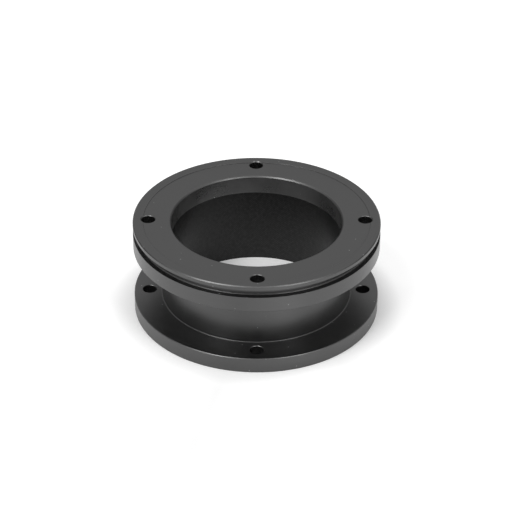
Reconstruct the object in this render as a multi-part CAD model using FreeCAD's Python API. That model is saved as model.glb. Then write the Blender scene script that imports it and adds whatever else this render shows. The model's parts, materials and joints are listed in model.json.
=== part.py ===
"""Telescope focuser adapter: one turned and drilled aluminium spool, in millimetres.

The base face lies on z = 0 and the optical axis is the Z axis. The base flange bolts to the
telescope, and the grooved flange on top of the neck takes the focuser.
"""
import FreeCAD, Part
import os

# Through bore: a smooth land at the top, and a slight relief below it
bore_diameter = 55.0
land_length = 6.2
bore_relief = 0.1

# Neck between the flanges
neck_wall = 3.25
neck_length = 17.8

# Screws that stand in the gap between the flanges, on one bolt circle through both
hole_count = 4
hole_diameter = 4.5
screw_head_diameter = 7.0
screw_head_clearance = 0.75

# Thickness of the base flange, and of the upper flange's rim below its groove
flange_thickness = 5.2

# Groove round the upper flange, the lip above it, and the metal between a screw hole and the groove
groove_width = 2.6
groove_depth = 1.75
lip_thickness = 1.4
groove_web = 1.0

# Seating face, sunk below the lip's top and reaching this far outside the bolt circle
seat_depth = 0.18
seat_edge = 1.6

# Broken edges, and the tool-nose corners inside the neck and the groove, drawn as flats
lip_chamfer = 0.3
mouth_chamfer = 0.5
base_chamfer = 0.2
lower_chamfer = 0.15
hole_chamfer = 0.15
neck_corner = 0.25
groove_corner = 0.2

# Radii, from the bore outwards
land_radius = bore_diameter / 2
bore_radius = land_radius + bore_relief
neck_radius = land_radius + neck_wall
bolt_circle_radius = neck_radius + screw_head_clearance + screw_head_diameter / 2
hole_radius = hole_diameter / 2
groove_radius = bolt_circle_radius + hole_radius + groove_web
flange_radius = groove_radius + groove_depth
seat_radius = bolt_circle_radius + seat_edge

# Heights, from the base upwards
flange_bottom = flange_thickness + neck_length
groove_bottom = flange_bottom + flange_thickness
groove_top = groove_bottom + groove_width
lip_top = groove_top + lip_thickness
seat_level = lip_top - seat_depth
land_bottom = seat_level - land_length

ORIGIN = FreeCAD.Vector(0, 0, 0)
AXIS = FreeCAD.Vector(0, 0, 1)
SHARP = 0


def section_point(radius, height):
    """A point of the half section, which lies in the XZ plane."""
    return FreeCAD.Vector(radius, 0, height)


def spool_corners():
    """The corners of the half section in order round it, each with the width of its flat."""
    return [
        (section_point(bore_radius, 0), SHARP),
        (section_point(flange_radius, 0), lower_chamfer),
        (section_point(flange_radius, flange_thickness), base_chamfer),
        (section_point(neck_radius, flange_thickness), neck_corner),
        (section_point(neck_radius, flange_bottom), neck_corner),
        (section_point(flange_radius, flange_bottom), lower_chamfer),
        (section_point(flange_radius, groove_bottom), SHARP),
        (section_point(groove_radius, groove_bottom), groove_corner),
        (section_point(groove_radius, groove_top), groove_corner),
        (section_point(flange_radius, groove_top), SHARP),
        (section_point(flange_radius, lip_top), lip_chamfer),
        (section_point(seat_radius, lip_top), SHARP),
        (section_point(seat_radius, seat_level), SHARP),
        (section_point(land_radius, seat_level), mouth_chamfer),
        (section_point(land_radius, land_bottom), SHARP),
        (section_point(bore_radius, land_bottom), SHARP),
    ]


def flattened(corners):
    """The outline's points, with each corner that has a flat cut back along both its sides."""
    points = []
    for index, (corner, flat) in enumerate(corners):
        if flat == SHARP:
            points.append(corner)
            continue
        for neighbour, _ in (corners[index - 1], corners[(index + 1) % len(corners)]):
            points.append(corner + (neighbour - corner).normalize() * flat)
    return points


def turned(points):
    """The solid that a closed half section sweeps once round the axis."""
    outline = Part.makePolygon(points + points[:1])
    return Part.Face(outline).revolve(ORIGIN, AXIS, 360)


def screw_hole(bottom, top):
    """The space of one screw hole through a flange, flared past both faces to break its edges."""
    run_out = seat_depth + hole_chamfer
    flared_radius = hole_radius + hole_chamfer + run_out
    return turned([
        section_point(0, bottom - run_out),
        section_point(flared_radius, bottom - run_out),
        section_point(hole_radius, bottom + hole_chamfer),
        section_point(hole_radius, top - hole_chamfer),
        section_point(flared_radius, top + run_out),
        section_point(0, top + run_out),
    ])


def on_bolt_circle(hole):
    """Copies of one hole at every place of the bolt circle, the first on +X."""
    copies = []
    for index in range(hole_count):
        copy = hole.copy()
        copy.translate(FreeCAD.Vector(bolt_circle_radius, 0, 0))
        copy.rotate(ORIGIN, AXIS, index * 360 / hole_count)
        copies.append(copy)
    return copies


def adapter_body():
    """The whole adapter: the turned spool, drilled through both flanges."""
    spool = turned(flattened(spool_corners()))
    base_holes = on_bolt_circle(screw_hole(0, flange_thickness))
    flange_holes = on_bolt_circle(screw_hole(flange_bottom, seat_level))
    return spool.cut(base_holes + flange_holes)


os.makedirs("parts", exist_ok=True)
adapter_body().exportStep("parts/adapter_body.step")
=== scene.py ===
"""Looks of the telescope focuser adapter: a turned, black anodised aluminium spool, in metres.

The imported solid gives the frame. The spool shown here has the same section with its tool-nose
corners and broken edges rounded, and it carries the finish. The base face rests on the floor.
"""

import json
import math

import bpy
from mathutils import Matrix, Vector


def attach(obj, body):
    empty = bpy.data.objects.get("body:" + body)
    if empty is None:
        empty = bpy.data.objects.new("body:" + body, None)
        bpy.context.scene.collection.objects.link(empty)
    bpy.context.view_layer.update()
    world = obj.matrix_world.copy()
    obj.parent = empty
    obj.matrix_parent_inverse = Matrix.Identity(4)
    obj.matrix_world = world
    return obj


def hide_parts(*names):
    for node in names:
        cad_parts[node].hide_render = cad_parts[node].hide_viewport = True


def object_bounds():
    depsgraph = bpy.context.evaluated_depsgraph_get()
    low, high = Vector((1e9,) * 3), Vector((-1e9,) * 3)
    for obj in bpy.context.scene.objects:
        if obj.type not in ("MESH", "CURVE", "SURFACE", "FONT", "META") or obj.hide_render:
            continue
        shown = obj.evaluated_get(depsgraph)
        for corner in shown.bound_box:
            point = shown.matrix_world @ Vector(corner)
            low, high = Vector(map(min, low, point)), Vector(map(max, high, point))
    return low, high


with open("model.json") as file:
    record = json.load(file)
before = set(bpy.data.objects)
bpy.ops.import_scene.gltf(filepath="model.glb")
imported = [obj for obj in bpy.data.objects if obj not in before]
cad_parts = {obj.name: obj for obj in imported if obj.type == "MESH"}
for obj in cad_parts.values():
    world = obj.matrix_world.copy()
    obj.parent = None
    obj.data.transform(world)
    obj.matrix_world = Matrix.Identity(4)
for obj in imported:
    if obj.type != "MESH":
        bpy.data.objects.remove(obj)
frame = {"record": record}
cad_low, cad_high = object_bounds()

MM = 0.001
mount_sizes = {mount["name"]: mount["dims"] for mount in frame["record"]["mounts"]}

# Sizes that the frame gives
flange_radius = cad_high.x
lip_top = cad_high.z
land_radius = mount_sizes["through_bore"]["r_mm"] * MM
bolt_circle_radius = mount_sizes["top_bolts"]["pcd_mm"] / 2 * MM
hole_radius = mount_sizes["top_bolts"]["hole_r_mm"] * MM
hole_count = mount_sizes["top_bolts"]["count"]

# Radii of the section
bore_radius = land_radius + 0.1 * MM
neck_radius = land_radius + 3.25 * MM
groove_radius = flange_radius - 1.75 * MM
seat_radius = bolt_circle_radius + 1.6 * MM

# Heights of the section
flange_thickness = 5.2 * MM
flange_bottom = flange_thickness + 17.8 * MM
groove_bottom = flange_bottom + flange_thickness
groove_top = groove_bottom + 2.6 * MM
seat_level = lip_top - 0.18 * MM
land_bottom = seat_level - 6.2 * MM

# Broken edges, and the corners that a tool nose leaves in the neck and the groove
lip_chamfer = 0.3 * MM
mouth_chamfer = 0.5 * MM
base_chamfer = 0.2 * MM
lower_chamfer = 0.15 * MM
hole_chamfer = 0.15 * MM
neck_nose = 0.4 * MM
groove_nose = 0.55 * MM
mouth_rounding = 0.3 * MM
step_rounding = 0.12 * MM
edge_rounding = 0.05 * MM
edge_margin = 0.12 * MM
NO_FLAT = 0

# Fineness of the mesh
ROUND_STEPS = 360
HOLE_STEPS = 72
ARC_STEP = math.radians(15)
CREASE_ANGLE = math.radians(28)


def spool_corners():
    """The half section's corners in order: place, width of the flat, radius of the rounding."""
    return [
        (Vector((bore_radius, 0)), NO_FLAT, edge_rounding),
        (Vector((flange_radius, 0)), lower_chamfer, edge_rounding),
        (Vector((flange_radius, flange_thickness)), base_chamfer, edge_rounding),
        (Vector((neck_radius, flange_thickness)), NO_FLAT, neck_nose),
        (Vector((neck_radius, flange_bottom)), NO_FLAT, neck_nose),
        (Vector((flange_radius, flange_bottom)), lower_chamfer, edge_rounding),
        (Vector((flange_radius, groove_bottom)), NO_FLAT, edge_rounding),
        (Vector((groove_radius, groove_bottom)), NO_FLAT, groove_nose),
        (Vector((groove_radius, groove_top)), NO_FLAT, groove_nose),
        (Vector((flange_radius, groove_top)), NO_FLAT, edge_rounding),
        (Vector((flange_radius, lip_top)), lip_chamfer, edge_rounding),
        (Vector((seat_radius, lip_top)), NO_FLAT, step_rounding),
        (Vector((seat_radius, seat_level)), NO_FLAT, edge_rounding),
        (Vector((land_radius, seat_level)), mouth_chamfer, mouth_rounding),
        (Vector((land_radius, land_bottom)), NO_FLAT, edge_rounding),
        (Vector((bore_radius, land_bottom)), NO_FLAT, edge_rounding),
    ]


def cut_back(corners):
    """Corner places with their roundings, each corner that has a flat given as the flat's two ends."""
    places = []
    for index, (corner, flat, rounding) in enumerate(corners):
        if flat == NO_FLAT:
            places.append((corner, rounding))
            continue
        for neighbour, _, _ in (corners[index - 1], corners[(index + 1) % len(corners)]):
            places.append((corner + (neighbour - corner).normalized() * flat, rounding))
    return places


def arc_points(corner, before, after, rounding):
    """Points of the arc that rounds a corner between its two neighbours."""
    into = (corner - before).normalized()
    out = (after - corner).normalized()
    turn = into.angle_signed(out)
    reach = rounding * math.tan(abs(turn) / 2)
    start = corner - into * reach
    side = Vector((into.y, -into.x)) * math.copysign(1, turn)
    centre = start + side * rounding
    count = math.ceil(abs(turn) / ARC_STEP)
    spoke = start - centre
    return [centre + Matrix.Rotation(-turn * step / count, 2) @ spoke for step in range(count + 1)]


def rounded_outline(corners):
    """The section's points, with each corner's arc held by a margin on both sides of it."""
    places = cut_back(corners)
    arcs = []
    for index, (corner, rounding) in enumerate(places):
        before = places[index - 1][0]
        after = places[(index + 1) % len(places)][0]
        arcs.append(arc_points(corner, before, after, rounding))
    outline = []
    for index, arc in enumerate(arcs):
        following = arcs[(index + 1) % len(arcs)][0]
        outline += arc
        run = following - arc[-1]
        if run.length > 3 * edge_margin:
            outline.append(arc[-1] + run.normalized() * edge_margin)
            outline.append(following - run.normalized() * edge_margin)
    return outline


def lathe(name, outline, steps, ring):
    """A mesh swept round Z from an outline, which closes on itself in a ring or has flat ends."""
    vertices = []
    for step in range(steps):
        turn = 2 * math.pi * step / steps
        vertices += [(r * math.cos(turn), r * math.sin(turn), z) for r, z in outline]
    count = len(outline)
    faces = []
    for step in range(steps):
        here = step * count
        there = (step + 1) % steps * count
        for point in range(count if ring else count - 1):
            after = (point + 1) % count
            faces.append((here + point, there + point, there + after, here + after))
    if not ring:
        faces.append([step * count for step in reversed(range(steps))])
        faces.append([step * count + count - 1 for step in range(steps)])
    mesh = bpy.data.meshes.new(name)
    mesh.from_pydata(vertices, [], faces)
    thing = bpy.data.objects.new(name, mesh)
    bpy.context.scene.collection.objects.link(thing)
    return thing


def screw_hole(bottom, top, turn):
    """The space of one screw hole through a flange, flared past both faces to break its edges."""
    run_out = lip_top - seat_level + hole_chamfer
    flared_radius = hole_radius + hole_chamfer + run_out
    hole = lathe("screw_hole", [
        (flared_radius, bottom - run_out),
        (hole_radius, bottom + hole_chamfer),
        (hole_radius, top - hole_chamfer),
        (flared_radius, top + run_out),
    ], HOLE_STEPS, ring=False)
    hole.matrix_world = Matrix.Rotation(turn, 4, "Z") @ Matrix.Translation((bolt_circle_radius, 0, 0))
    return hole


def drill(spool, holes):
    """Cuts the holes out of the spool and keeps the result as its mesh."""
    tools = bpy.data.collections.new("drills")
    bpy.context.scene.collection.children.link(tools)
    for hole in holes:
        tools.objects.link(hole)
    cut = spool.modifiers.new("drill", "BOOLEAN")
    cut.operation = "DIFFERENCE"
    cut.operand_type = "COLLECTION"
    cut.collection = tools
    cut.solver = "EXACT"
    drilled = bpy.data.meshes.new_from_object(spool.evaluated_get(bpy.context.evaluated_depsgraph_get()))
    spool.modifiers.clear()
    spool.data = drilled
    for hole in holes:
        bpy.data.objects.remove(hole)
    bpy.data.collections.remove(tools)


def mark_worn_edges(spool):
    """Stores how near each point is to a rim edge or the land's end, where handling wears the dye."""
    rim_middle = (groove_radius + flange_radius) / 2
    land_end = Vector((land_radius, land_bottom))
    worn = []
    for corner, flat, _ in spool_corners():
        if corner.x > rim_middle or (corner - land_end).length < edge_rounding:
            worn.append((corner, flat))
    mesh = spool.data
    wear = mesh.attributes.new("wear", "FLOAT", "POINT")
    for point, value in zip(mesh.vertices, wear.data):
        place = Vector((point.co.xy.length, point.co.z))
        nearest = min((place - corner).length - flat for corner, flat in worn)
        value.value = max(0, min(1, 1 - nearest / edge_margin))


def adapter_finish():
    """The spool as it is seen: turned, drilled through both flanges, and shaded smooth to its creases."""
    spool = lathe("adapter_finish", rounded_outline(spool_corners()), ROUND_STEPS, ring=True)
    holes = []
    for index in range(hole_count):
        turn = 2 * math.pi * index / hole_count
        holes.append(screw_hole(0, flange_thickness, turn))
        holes.append(screw_hole(flange_bottom, seat_level, turn))
    drill(spool, holes)
    mark_worn_edges(spool)
    mesh = spool.data
    mesh.polygons.foreach_set("use_smooth", [True] * len(mesh.polygons))
    mesh.set_sharp_from_angle(angle=CREASE_ANGLE)
    return spool


def paint(spool):
    """Gives the bore its paler, smoother land and dull wall, and the rest the satin finish."""
    mesh = spool.data
    mesh.materials.clear()
    satin = turned_anodised("satin_anodised", darkest=0.004, palest=0.008, smoothest=0.31, roughest=0.38)
    land = turned_anodised("pale_land", darkest=0.028, palest=0.048, smoothest=0.24, roughest=0.34)
    for material in (satin, land, dull_bore()):
        mesh.materials.append(material)
    wall_middle = (bore_radius + neck_radius) / 2
    land_top = seat_level - mouth_chamfer
    for face in mesh.polygons:
        in_bore = face.center.xy.length < wall_middle and face.center.z < land_top
        below_land = face.center.z < land_bottom
        face.material_index = in_bore + (in_bore and below_land)


class NodeTree:
    """Adds nodes to a material or world; an input is a constant or another node's socket."""

    def __init__(self, owner):
        owner.use_nodes = True
        self.tree = owner.node_tree
        self.tree.nodes.clear()

    def add(self, kind, inputs, **settings):
        node = self.tree.nodes.new("ShaderNode" + kind)
        for setting, value in settings.items():
            setattr(node, setting, value)
        for name, value in inputs.items():
            if isinstance(value, bpy.types.NodeSocket):
                self.tree.links.new(value, node.inputs[name])
            else:
                node.inputs[name].default_value = value
        return node.outputs

    def math(self, operation, *values):
        return self.add("Math", dict(enumerate(values)), operation=operation)[0]

    def map_range(self, value, from_low, from_high, to_low, to_high):
        """A value carried from one range to another, held at the ends."""
        ends = {"Value": value, "From Min": from_low, "From Max": from_high}
        return self.add("MapRange", ends | {"To Min": to_low, "To Max": to_high})[0]

    def run_through(self, value, stops):
        """A height that runs in straight lines through stops, each a value and the height there."""
        total = stops[0][1]
        for (low, start), (high, end) in zip(stops, stops[1:]):
            total = self.math("ADD", total, self.map_range(value, low, high, 0, end - start))
        return total

    def mix(self, share, first, second):
        """A colour between two, at a share of the second."""
        return self.add("MixRGB", {"Fac": share, "Color1": first, "Color2": second})[0]

    def place(self):
        return self.add("TexCoord", {})["Object"]

    def round_axis(self):
        """Sockets for the distance from the axis, the height, and the angle round the axis."""
        x, y, z = self.add("SeparateXYZ", {"Vector": self.place()})
        squares = self.math("ADD", self.math("MULTIPLY", x, x), self.math("MULTIPLY", y, y))
        return self.math("SQRT", squares), z, self.math("ARCTAN2", y, x)

    def noise(self, size, detail):
        """Cloudy values round a half, with features of a real size."""
        return self.add("TexNoise", {"Vector": self.place(), "Scale": 1 / size, "Detail": detail})[0]

    def bump(self, height, depth, beneath=None):
        """A surface normal from a height of 0 to 1 that stands for a real depth."""
        inputs = {"Height": height, "Distance": depth, "Strength": 1.0}
        if beneath:
            inputs["Normal"] = beneath
        return self.add("Bump", inputs)[0]

    def surface(self, shader, kind="OutputMaterial"):
        self.add(kind, {"Surface": shader})


def grey(level):
    """A neutral colour."""
    return (level, level, level, 1)


def dust(tree):
    """A socket that is 1 on sparse specks of dust."""
    cell = 2.4 * MM
    speck_radius = 0.15 * MM
    kept_share = 0.3
    distance, colour, *_ = tree.add("TexVoronoi", {"Vector": tree.place(), "Scale": 1 / cell})
    chance = tree.add("SeparateColor", {"Color": colour})[0]
    near = tree.math("LESS_THAN", distance, speck_radius / cell)
    return tree.math("MULTIPLY", near, tree.math("LESS_THAN", chance, kept_share))


def nicks(tree):
    """A socket that is 1 where a worn edge has a nick down to the pale metal."""
    wear = tree.add("Attribute", {}, attribute_name="wear")["Fac"]
    nick_size = 1.1 * MM
    least_wear = 0.2
    full_wear = 0.5
    weakest_knock = 0.72
    hardest_knock = 0.76
    on_edge = tree.map_range(wear, least_wear, full_wear, 0, 1)
    struck = tree.map_range(tree.noise(nick_size, 2.0), weakest_knock, hardest_knock, 0, 1)
    return tree.math("MULTIPLY", on_edge, struck)


def turned_anodised(name, darkest, palest, smoothest, roughest):
    """Black anodised turned aluminium, with tool lines, a fine grain, a little dust and nicked edges."""
    material = bpy.data.materials.new(name)
    tree = NodeTree(material)
    radius, height, _ = tree.round_axis()
    line_pitch = 0.16 * MM
    line_depth = 0.0015 * MM
    grain_size = 0.35 * MM
    grain_depth = 0.002 * MM
    cloud_size = 9.0 * MM
    bare_metal = grey(0.3)
    along = tree.math("MULTIPLY", tree.math("ADD", radius, height), 1 / line_pitch)
    lines = tree.add("TexNoise", {"W": along, "Scale": 1.0, "Detail": 1.0}, noise_dimensions="1D")[0]
    grain = tree.noise(grain_size, 2.0)
    clouds = tree.noise(cloud_size, 3.0)
    dyed = tree.mix(tree.map_range(clouds, 0.35, 0.65, 0, 1), grey(darkest), grey(palest))
    shader = tree.add("BsdfPrincipled", {
        "Base Color": tree.mix(tree.math("MAXIMUM", dust(tree), nicks(tree)), dyed, bare_metal),
        "Roughness": tree.map_range(clouds, 0.3, 0.7, smoothest, roughest),
        "IOR": 1.88,
        "Normal": tree.bump(grain, grain_depth, tree.bump(lines, line_depth)),
    })
    tree.surface(shader["BSDF"])
    return material


def dull_bore():
    """The bored wall: a duller black, with the slanted marks that a chattering tool leaves."""
    material = bpy.data.materials.new("dull_bore")
    tree = NodeTree(material)
    _, height, angle = tree.round_axis()
    marks_round = 210
    mark_rise = 0.8 * MM
    mark_depth = 0.02 * MM
    patch_size = 0.9 * MM
    grain_size = 0.3 * MM
    grain_depth = 0.008 * MM
    turns = tree.math("MULTIPLY", angle, marks_round)
    climb = tree.math("MULTIPLY", height, 2 * math.pi / mark_rise)
    chatter = tree.map_range(tree.math("SINE", tree.math("ADD", turns, climb)), -1, 1, 0, 1)
    grain = tree.noise(grain_size, 3.0)
    patches = tree.noise(patch_size, 2.0)
    marks = tree.math("MULTIPLY", chatter, tree.map_range(patches, 0.35, 0.65, 0, 1))
    shader = tree.add("BsdfPrincipled", {
        "Base Color": tree.mix(marks, grey(0.001), grey(0.016)),
        "Roughness": tree.map_range(grain, 0.3, 0.7, 0.3, 0.4),
        "IOR": 1.42,
        "Normal": tree.bump(grain, grain_depth, tree.bump(marks, mark_depth)),
    })
    tree.surface(shader["BSDF"])
    return material


def seen_by_eye(tree):
    """A socket that is 1 on rays from the camera, reflections and glass, and 0 on light rays."""
    path = tree.add("LightPath", {})
    direct = tree.math("ADD", path["Is Camera Ray"], path["Is Glossy Ray"])
    return tree.math("MINIMUM", tree.math("ADD", direct, path["Is Transmission Ray"]), 1.0)


def clearing_glow(tree, radius):
    """Glow by the distance from the axis: none under the base, and enough beyond it for a white floor."""
    return tree.run_through(radius, [
        (0.98 * flange_radius, 0),
        (flange_radius, 0.1),
        (1.2 * flange_radius, 0.34),
        (2 * flange_radius, 0.26),
        (8 * flange_radius, 0.36),
    ])


def painted_floor_light(tree, radius, angle):
    """Glow by the angle right of the front, painted light that the rim and neck reflect: less at the left
    as a painted shadow, a painted pool of light at the right, and more behind, which paints out the key
    lamp's shadow.
    """
    glow_by_degrees = [
        (-28, 0), (-14, -0.14), (0, 0), (23, 0.25), (38, 0),
        (70, 0), (105, 0.13), (240, 0.13), (268, 0),
    ]
    from_front = tree.math("ADD", angle, math.pi / 2)
    pool = tree.run_through(from_front, [(math.radians(turn), glow) for turn, glow in glow_by_degrees])
    clear_of_base = tree.map_range(radius, flange_radius, 1.25 * flange_radius, 0, 1)
    return tree.math("MULTIPLY", pool, clear_of_base)


def bore_glow(tree, radius, angle):
    """Glow inside the bore, where the floor pales towards the side that the key lamp reaches."""
    most_glow = 0.22
    across = tree.math("MULTIPLY", radius, tree.math("COSINE", angle))
    lit_side = tree.map_range(across, -0.6 * bore_radius, bore_radius, 0, most_glow)
    in_bore = tree.map_range(radius, bore_radius, neck_radius, 1, 0)
    return tree.math("MULTIPLY", lit_side, in_bore)


def white_floor():
    """Matt white paint, with a glow to the eye that clears the floor outside the near shadow."""
    material = bpy.data.materials.new("white_floor")
    tree = NodeTree(material)
    radius, _, angle = tree.round_axis()
    # Besides clearing the floor, the glow paints light: a pool and a shadow that the walls reflect, and a
    # paler side in the bore.
    glow = tree.math("ADD", clearing_glow(tree, radius), painted_floor_light(tree, radius, angle))
    glow = tree.math("ADD", glow, bore_glow(tree, radius, angle))
    shader = tree.add("BsdfPrincipled", {
        "Base Color": grey(0.95),
        "Roughness": 0.6,
        "Specular IOR Level": 0.1,
        "Emission Color": grey(1.0),
        "Emission Strength": tree.math("MULTIPLY", seen_by_eye(tree), glow),
    })
    tree.surface(shader["BSDF"])
    return material


def pale_floor():
    """A wide floor that the base face rests on."""
    reach = 3.0
    mesh = bpy.data.meshes.new("floor")
    corners = [(-reach, -reach, 0), (reach, -reach, 0), (reach, reach, 0), (-reach, reach, 0)]
    mesh.from_pydata(corners, [], [(0, 1, 2, 3)])
    mesh.materials.append(white_floor())
    floor = bpy.data.objects.new("floor", mesh)
    bpy.context.scene.collection.objects.link(floor)


def white_tent():
    """The world: a tent that is grey low down, pale overhead and darkest at its front opening."""
    world = bpy.data.worlds.new("white_tent")
    tree = NodeTree(world)
    lighting = 0.48
    low_down = 0.3
    overhead = 0.92
    opening = 0.12
    grey_below = 0.42
    pale_above = 0.585
    opening_middle = -0.9
    opening_edge = -0.65
    direction = tree.add("TexCoord", {})["Generated"]
    _, depth, rise = tree.add("SeparateXYZ", {"Vector": direction})
    tent = tree.map_range(rise, grey_below, pale_above, low_down, overhead)
    front = tree.map_range(depth, opening_middle, opening_edge, opening, 1)
    seen = tree.math("MULTIPLY", tent, front)
    eye = seen_by_eye(tree)
    strength = tree.math("ADD", lighting, tree.math("MULTIPLY", eye, tree.math("SUBTRACT", seen, lighting)))
    strength = tree.math("MAXIMUM", strength, tree.add("LightPath", {})["Is Camera Ray"])
    background = tree.add("Background", {"Color": grey(1.0), "Strength": strength})["Background"]
    tree.surface(background, "OutputWorld")
    bpy.context.scene.world = world


def orbit(azimuth, elevation, roll, distance, target):
    """The place of a camera or lamp that looks at a target from a distance, azimuth 0 at the front."""
    return (
        Matrix.Rotation(azimuth, 4, "Z")
        @ Matrix.Translation(target)
        @ Matrix.Rotation(math.pi / 2 - elevation, 4, "X")
        @ Matrix.Rotation(roll, 4, "Z")
        @ Matrix.Translation((0, 0, distance))
    )


def softbox(name, azimuth, elevation, distance, width, height, watts):
    """A lamp that faces the adapter, at an azimuth right of the front and a height angle."""
    lamp = bpy.data.lights.new(name, "AREA")
    lamp.shape = "RECTANGLE"
    lamp.size = width
    lamp.size_y = height
    lamp.energy = watts
    thing = bpy.data.objects.new(name, lamp)
    bpy.context.scene.collection.objects.link(thing)
    thing.matrix_world = orbit(math.radians(azimuth), math.radians(elevation), 0, distance, Vector())


def photograph_camera():
    """A long lens at the photograph's viewing angle."""
    azimuth = math.radians(-0.48)
    elevation = math.radians(32.43)
    roll = math.radians(0.374)
    distance = 0.6865
    target = Vector((-0.00015, 0, 0.01806))
    lens = bpy.data.cameras.new("camera")
    lens.sensor_width = 36
    lens.lens = 148.04
    camera = bpy.data.objects.new("camera", lens)
    bpy.context.scene.collection.objects.link(camera)
    camera.matrix_world = orbit(azimuth, elevation, roll, distance, target)
    bpy.context.scene.camera = camera


adapter = adapter_finish()
paint(adapter)
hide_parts("adapter_body")
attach(adapter, "root")

pale_floor()
white_tent()
softbox("key_softbox", azimuth=-45, elevation=52, distance=1.2, width=0.46, height=0.5, watts=5.5)
softbox("fill_softbox", azimuth=41, elevation=49, distance=1.2, width=0.42, height=0.42, watts=2.7)
photograph_camera()
bpy.context.scene.view_settings.view_transform = "Standard"
